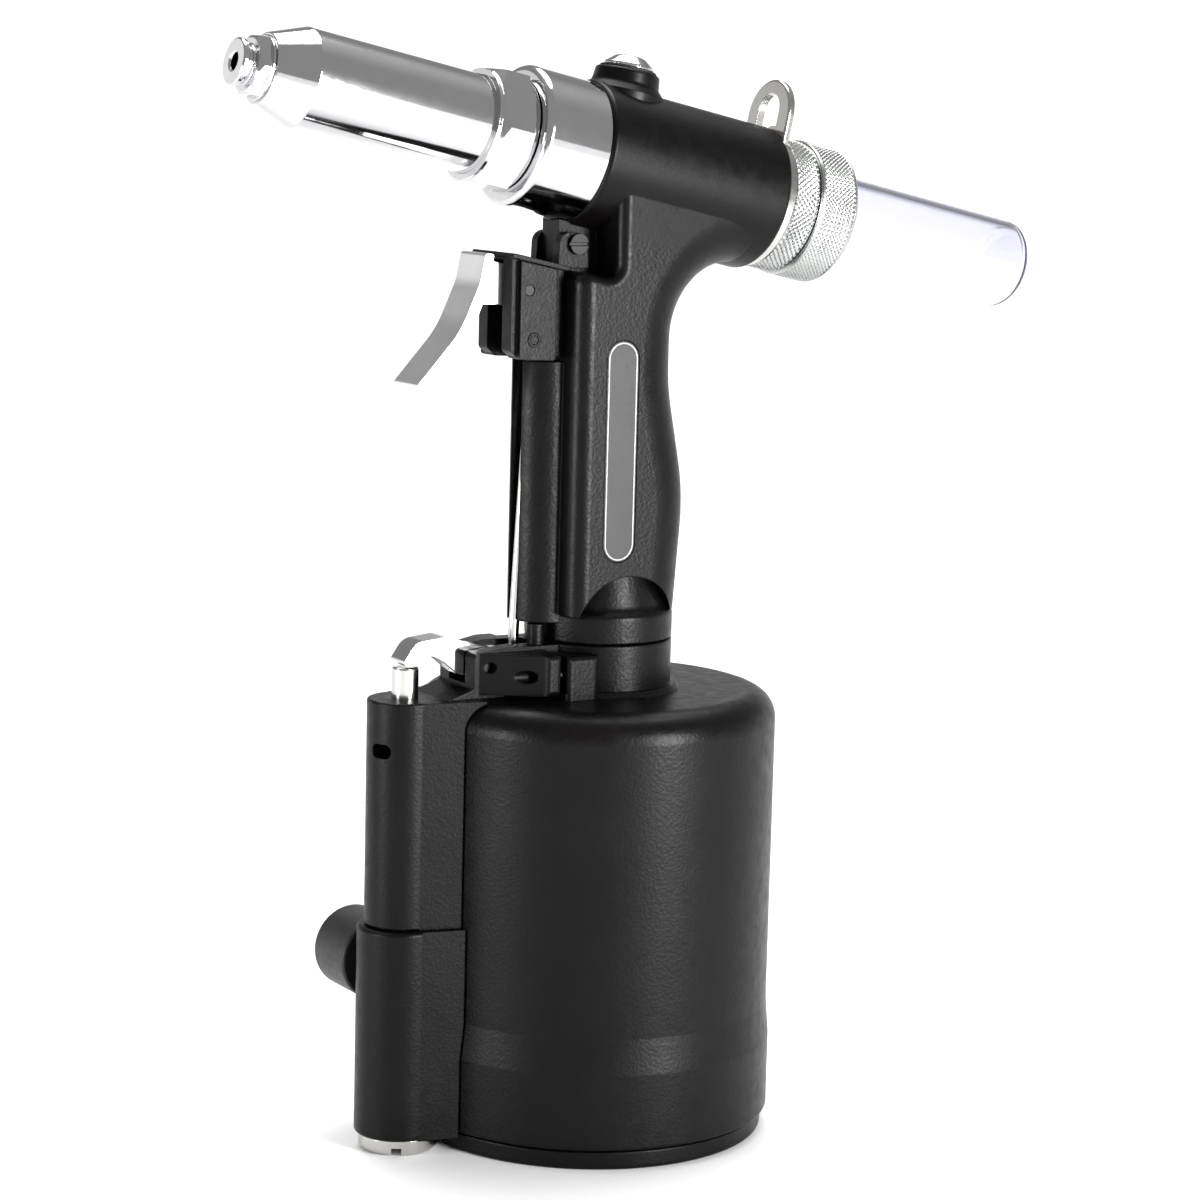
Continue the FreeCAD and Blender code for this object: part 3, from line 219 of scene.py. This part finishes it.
class Surface:
    """A Principled material whose patterns lie in the object's own coordinates, in metres."""

    def __init__(self, name):
        self.material = bpy.data.materials.new(name)
        self.material.use_nodes = True
        self.tree = self.material.node_tree
        self.shader = self.tree.nodes["Principled BSDF"]
        self.place = self.add("ShaderNodeTexCoord").outputs["Object"]

    def add(self, kind, **settings):
        node = self.tree.nodes.new(kind)
        for key, value in settings.items():
            setattr(node, key, value)
        return node

    def join(self, output, target):
        self.tree.links.new(output, target)

    def put(self, **values):
        for key, value in values.items():
            self.shader.inputs[key.replace("_", " ")].default_value = value

    def noise(self, scale, detail=3.0, roughness=0.55, place=None, distortion=0.0):
        node = self.add("ShaderNodeTexNoise")
        node.inputs["Scale"].default_value = scale
        node.inputs["Detail"].default_value = detail
        node.inputs["Roughness"].default_value = roughness
        node.inputs["Distortion"].default_value = distortion
        self.join(place or self.place, node.inputs["Vector"])
        return node.outputs["Fac"]

    def math(self, operation, a, b=0.0, clamp=False):
        node = self.add("ShaderNodeMath", operation=operation, use_clamp=clamp)
        for socket, value in zip(node.inputs, (a, b)):
            if isinstance(value, (int, float)):
                socket.default_value = value
            else:
                self.join(value, socket)
        return node.outputs[0]

    def ramp(self, value, stops):
        node = self.add("ShaderNodeValToRGB")
        elements = node.color_ramp.elements
        while len(elements) < len(stops):
            elements.new(0.5)
        for element, (position, color) in zip(elements, stops):
            element.position = position
            if isinstance(color, (int, float)):
                color = (color, color, color)
            element.color = (*color, 1.0)
        self.join(value, node.inputs["Fac"])
        return node.outputs["Color"]

    def along(self, direction, origin=Vector((0, 0, 0))):
        """Distance along a direction from an origin."""
        shift = self.add("ShaderNodeVectorMath", operation="SUBTRACT")
        self.join(self.place, shift.inputs[0])
        shift.inputs[1].default_value = origin
        dot = self.add("ShaderNodeVectorMath", operation="DOT_PRODUCT")
        self.join(shift.outputs[0], dot.inputs[0])
        dot.inputs[1].default_value = direction
        return dot.outputs["Value"]

    def rings(self, direction, scale, detail=4.0):
        """Noise that changes only along a direction, as turning marks do."""
        node = self.add("ShaderNodeTexNoise", noise_dimensions="1D")
        node.inputs["Scale"].default_value = scale
        node.inputs["Detail"].default_value = detail
        node.inputs["Roughness"].default_value = 0.7
        self.join(self.along(direction), node.inputs["W"])
        return node.outputs["Fac"]

    def bump(self, height, strength, distance, normal=None):
        node = self.add("ShaderNodeBump")
        node.inputs["Strength"].default_value = strength
        node.inputs["Distance"].default_value = distance
        self.join(height, node.inputs["Height"])
        if normal is not None:
            self.join(normal, node.inputs["Normal"])
        return node.outputs["Normal"]

    def soft_edges(self, radius):
        node = self.add("ShaderNodeBevel", samples=4)
        node.inputs["Radius"].default_value = radius
        return node.outputs["Normal"]

    def finish(self, color=None, roughness=None, normal=None):
        if color is not None:
            self.join(color, self.shader.inputs["Base Color"])
        if roughness is not None:
            self.join(roughness, self.shader.inputs["Roughness"])
        if normal is not None:
            self.join(normal, self.shader.inputs["Normal"])
        return self.material


def cast_coat(name, grain, smooth_above=None, edge=0.0005, rough=(0.32, 0.44)):
    """Black powder coat with a fine leather grain.

    smooth_above is (direction, origin, distance): past it the grain fades to the barrel's finer one.
    """
    m = Surface(name)
    tone = m.noise(45.0, 4.0)
    color = m.ramp(tone, [(0.3, (0.0022, 0.0018, 0.0018)), (0.7, (0.0048, 0.0038, 0.0038))])
    wrinkle = m.add("ShaderNodeTexVoronoi", feature="SMOOTH_F1")
    wrinkle.inputs["Scale"].default_value = 1300.0
    wrinkle.inputs["Smoothness"].default_value = 0.65
    warp = m.noise(420.0, 2.0)
    mixed = m.add("ShaderNodeVectorMath", operation="ADD")
    spread = m.add("ShaderNodeVectorMath", operation="SCALE")
    m.join(warp, spread.inputs[0])
    spread.inputs["Scale"].default_value = 0.0011
    m.join(m.place, mixed.inputs[0])
    m.join(spread.outputs[0], mixed.inputs[1])
    m.join(mixed.outputs[0], wrinkle.inputs["Vector"])
    fine = m.noise(2600.0, 3.0)
    coarse = m.noise(900.0, 2.0)
    height = m.math("ADD", m.math("MULTIPLY", wrinkle.outputs["Distance"], 0.9),
                    m.math("ADD", m.math("MULTIPLY", coarse, 0.2), m.math("MULTIPLY", fine, 0.25)))
    if smooth_above:
        direction, origin, depth = smooth_above
        side = m.math("MULTIPLY", m.along(direction, origin), 1.0 / depth, clamp=True)
        height = m.math("MULTIPLY", height, m.math("SUBTRACT", 1.0, m.math("MULTIPLY", side, 0.72)))
    roughness = m.ramp(m.noise(300.0, 3.0), [(0.3, rough[0]), (0.7, rough[1])])
    normal = m.bump(height, grain, 0.00011, m.soft_edges(edge))
    m.put(Specular_IOR_Level=0.22)
    return m.finish(color, roughness, normal)


def metal(name, tone, rough, marks, direction=None, scale=9000.0, edge=0.00025, mottled=0.04):
    """Bare or plated metal, with faint marks along a turning direction, or all over without one."""
    m = Surface(name)
    dark = tuple(c * (1.0 - mottled) for c in tone)
    color = m.ramp(m.noise(160.0, 4.0), [(0.35, dark), (0.65, tone)])
    pattern = m.rings(direction, scale) if direction else m.noise(scale * 0.3, 3.0)
    worn = m.math("ADD", m.math("MULTIPLY", pattern, 0.6), m.math("MULTIPLY", m.noise(420.0, 4.0), 0.4))
    roughness = m.ramp(worn, [(0.3, rough[0]), (0.7, rough[1])])
    normal = m.bump(pattern, marks, 0.00002, m.soft_edges(edge))
    m.put(Metallic=1.0)
    return m.finish(color, roughness, normal)


def plain_coat(name, tone, rough, grain=0.1, metallic=0.0, edge=0.0003):
    """Moulded or painted surface with a slight texture."""
    m = Surface(name)
    dark = tuple(c * 0.78 for c in tone)
    color = m.ramp(m.noise(110.0, 4.0), [(0.3, dark), (0.7, tone)])
    roughness = m.ramp(m.noise(700.0, 3.0), [(0.3, rough[0]), (0.7, rough[1])])
    normal = m.bump(m.noise(3000.0, 3.0), grain, 0.00005, m.soft_edges(edge))
    m.put(Metallic=metallic)
    return m.finish(color, roughness, normal)


def clear_plastic():
    """Clear moulded plastic with a violet cast that deepens where it is seen edge on."""
    m = Surface("clear_plastic")
    color = m.ramp(m.noise(60.0, 3.0), [(0.3, (0.955, 0.955, 0.985)), (0.7, (0.975, 0.975, 0.99))])
    roughness = m.ramp(m.noise(900.0, 4.0), [(0.35, 0.015), (0.7, 0.05)])
    normal = m.bump(m.noise(260.0, 2.0), 0.06, 0.0001)
    m.put(Transmission_Weight=1.0, IOR=1.5)
    tint = m.add("ShaderNodeVolumeAbsorption")
    tint.inputs["Color"].default_value = (0.55, 0.55, 0.86, 1.0)
    tint.inputs["Density"].default_value = 90.0
    m.join(tint.outputs[0], m.tree.nodes["Material Output"].inputs["Volume"])
    return m.finish(color, roughness, normal)


def dress():
    """Gives every CAD node its material, by slot and then by name."""
    above_grip = (UP_T, on_barrel(0, 0, -19.5), 2.5 * MM)
    grained = cast_coat("cast_grain", 0.45, above_grip)
    grained_low = cast_coat("cast_grain_cylinder", 0.36)
    small_cast = cast_coat("cast_grain_small", 0.32, edge=0.0004)
    chrome = metal("chrome", (0.62, 0.62, 0.63), (0.05, 0.11), 0.05, AXIS)
    slots = {
        "black_coat": grained_low,
        "chrome": chrome,
        "polished_aluminium": metal("satin_aluminium", (0.7, 0.7, 0.7), (0.3, 0.4), 0.04),
        "knurled_aluminium": metal("plated_knurl", (0.46, 0.47, 0.46), (0.22, 0.34), 0.08, edge=0.00008),
        "plated_steel": metal("plated_steel", (0.56, 0.55, 0.53), (0.12, 0.24), 0.05),
        "blackened_steel": metal("blackened_steel", (0.03, 0.03, 0.03), (0.3, 0.45), 0.1),
        "clear_plastic": clear_plastic(),
        "black_rubber": plain_coat("black_rubber", (0.012, 0.012, 0.012), (0.5, 0.7), 0.3),
        "inlet_black": plain_coat("inlet_black", (0.017, 0.016, 0.017), (0.36, 0.5), 0.25),
        "label": plain_coat("label_film", (0.020, 0.020, 0.022), (0.28, 0.4), 0.08),
        "hard_steel": metal("hard_steel", (0.55, 0.55, 0.56), (0.2, 0.35), 0.2, AXIS),
        "spring_steel": metal("spring_steel", (0.42, 0.42, 0.44), (0.25, 0.4), 0.2),
        "bronze": metal("bronze", (0.72, 0.52, 0.28), (0.22, 0.38), 0.2, Vector((0, 0, 1))),
        "machined_aluminium": metal("machined_aluminium", (0.8, 0.8, 0.81), (0.2, 0.35), 0.3, AXIS),
    }
    by_name = {"handle_casting": grained, "trigger_holder": small_cast, "valve_upper_housing": grained_low}
    for part in frame["record"]["subparts"]:
        name = part["node"]
        material = by_name.get(name) or slots[part["material_slot"]]
        node = NODES[name]
        if not node.material_slots:
            node.data.materials.append(material)
        for place in node.material_slots:
            place.material = material
    return slots


# ---- studio ------------------------------------------------------------------------------------------


def studio_floor():
    """A wide, flat, round floor, with finer rings near the object."""
    material = Surface("pale_floor")
    color = material.ramp(material.noise(3.0, 3.0), [(0.3, (0.92, 0.92, 0.925)), (0.7, (0.94, 0.94, 0.94))])
    material.put(Roughness=0.9, Specular_IOR_Level=0.1)
    material.finish(color)
    rings, segments, reach = 24, 96, 9.0
    points = [(0.0, 0.0, 0.0)]
    for i in range(1, rings + 1):
        radius = reach * (i / rings) ** 2
        for k in range(segments):
            turn = 2 * math.pi * k / segments
            points.append((radius * math.cos(turn), radius * math.sin(turn), 0.0))
    faces = [(0, 1 + k, 1 + (k + 1) % segments) for k in range(segments)]
    for i in range(rings - 1):
        a, b = 1 + i * segments, 1 + (i + 1) * segments
        faces += [(a + k, b + k, b + (k + 1) % segments, a + (k + 1) % segments) for k in range(segments)]
    mesh = bpy.data.meshes.new("studio_floor")
    mesh.from_pydata(points, [], faces)
    mesh.materials.append(material.material)
    floor = bpy.data.objects.new("studio_floor", mesh)
    bpy.context.scene.collection.objects.link(floor)


def softbox(name, azimuth, distance, height, size, radiance):
    """A rectangular lamp that looks at the object's middle; radiance is what a mirror sees of it."""
    lamp = bpy.data.lights.new(name, "AREA")
    lamp.shape = "RECTANGLE"
    lamp.size, lamp.size_y = size
    lamp.energy = radiance * size[0] * size[1] * math.pi
    place = bpy.data.objects.new(name, lamp)
    turn = math.radians(azimuth)
    place.location = (distance * math.cos(turn), distance * math.sin(turn), height)
    aim = LAMP_AIM - place.location
    place.rotation_euler = aim.to_track_quat("-Z", "Y").to_euler()
    place.visible_camera = False
    bpy.context.scene.collection.objects.link(place)


def skylight(name, azimuth, elevation, spread, strength):
    """Very soft light from high behind the object; spread is its angle across, in degrees."""
    lamp = bpy.data.lights.new(name, "SUN")
    lamp.energy = strength
    lamp.angle = math.radians(spread)
    place = bpy.data.objects.new(name, lamp)
    turn, rise = math.radians(azimuth), math.radians(elevation)
    towards = Vector((math.cos(turn) * math.cos(rise), math.sin(turn) * math.cos(rise), math.sin(rise)))
    place.rotation_euler = towards.to_track_quat("Z", "Y").to_euler()
    bpy.context.scene.collection.objects.link(place)


def surroundings(yaw):
    """A white backdrop across the scene from the given side, and a dim room on that side itself.

    The backdrop is white at the horizon and darker above, so that metal has contrast.
    """
    world = bpy.data.worlds.new("studio")
    bpy.context.scene.world = world
    world.use_nodes = True
    tree = world.node_tree
    place = tree.nodes.new("ShaderNodeTexCoord")
    split = tree.nodes.new("ShaderNodeSeparateXYZ")
    ramp = tree.nodes.new("ShaderNodeValToRGB")
    tree.links.new(place.outputs["Generated"], split.inputs[0])
    tree.links.new(split.outputs["Z"], ramp.inputs["Fac"])
    elements = ramp.color_ramp.elements
    while len(elements) < len(BACKDROP):
        elements.new(0.5)
    for element, (position, value) in zip(elements, BACKDROP):
        element.position = position
        element.color = (value, value, value, 1.0)
    away = tree.nodes.new("ShaderNodeVectorMath")
    away.operation = "DOT_PRODUCT"
    away.inputs[1].default_value = (-math.cos(yaw), -math.sin(yaw), 0.0)
    tree.links.new(place.outputs["Generated"], away.inputs[0])
    side = tree.nodes.new("ShaderNodeMapRange")
    side.inputs["From Min"].default_value = -0.1
    side.inputs["From Max"].default_value = 0.5
    tree.links.new(away.outputs["Value"], side.inputs["Value"])
    mix = tree.nodes.new("ShaderNodeMix")
    mix.data_type = "RGBA"
    color_inputs = [socket for socket in mix.inputs if socket.type == "RGBA"]
    color_inputs[0].default_value = (CAMERA_SIDE, CAMERA_SIDE, CAMERA_SIDE, 1.0)
    tree.links.new(side.outputs["Result"], mix.inputs["Factor"])
    tree.links.new(ramp.outputs["Color"], color_inputs[1])
    color_output = [socket for socket in mix.outputs if socket.type == "RGBA"][0]
    tree.links.new(color_output, tree.nodes["Background"].inputs["Color"])
    tree.nodes["Background"].inputs["Strength"].default_value = 1.0


def camera():
    yaw, pitch, roll = (math.radians(CAMERA[k]) for k in ("yaw", "pitch", "roll"))
    back = Vector((math.cos(pitch) * math.cos(yaw), math.cos(pitch) * math.sin(yaw), math.sin(pitch)))
    up = Vector((-math.sin(pitch) * math.cos(yaw), -math.sin(pitch) * math.sin(yaw), math.cos(pitch)))
    right = up.cross(back)
    right_rolled = right * math.cos(roll) + up * math.sin(roll)
    up_rolled = up * math.cos(roll) - right * math.sin(roll)
    data = bpy.data.cameras.new("camera")
    data.sensor_width = CAMERA["sensor_mm"]
    data.lens = CAMERA["lens_mm"]
    data.clip_start, data.clip_end = 0.02, 50.0
    place = bpy.data.objects.new("camera", data)
    turn = Matrix((right_rolled, up_rolled, back)).transposed().to_4x4()
    turn.translation = Vector(CAMERA["target"]) + back * CAMERA["distance"]
    place.matrix_world = turn
    bpy.context.scene.collection.objects.link(place)
    bpy.context.scene.camera = place


def main():
    camera()
    slots = dress()
    lock_ring(slots["knurled_aluminium"])
    collector_cap(slots["knurled_aluminium"])
    label_border(metal("label_line", (0.33, 0.33, 0.34), (0.3, 0.45), 0.1))
    studio_floor()
    yaw = CAMERA["yaw"]
    surroundings(math.radians(yaw))
    skylight("skylight", yaw + SKY["azimuth"], SKY["elevation"], SKY["spread"], SKY["strength"])
    for name, box in SOFTBOXES.items():
        softbox(name, yaw + box["azimuth"], box["distance"], box["height"], box["size"], box["radiance"])
    bpy.context.scene.view_settings.view_transform = "Standard"
    bpy.context.scene.view_settings.look = "Medium High Contrast"


main()
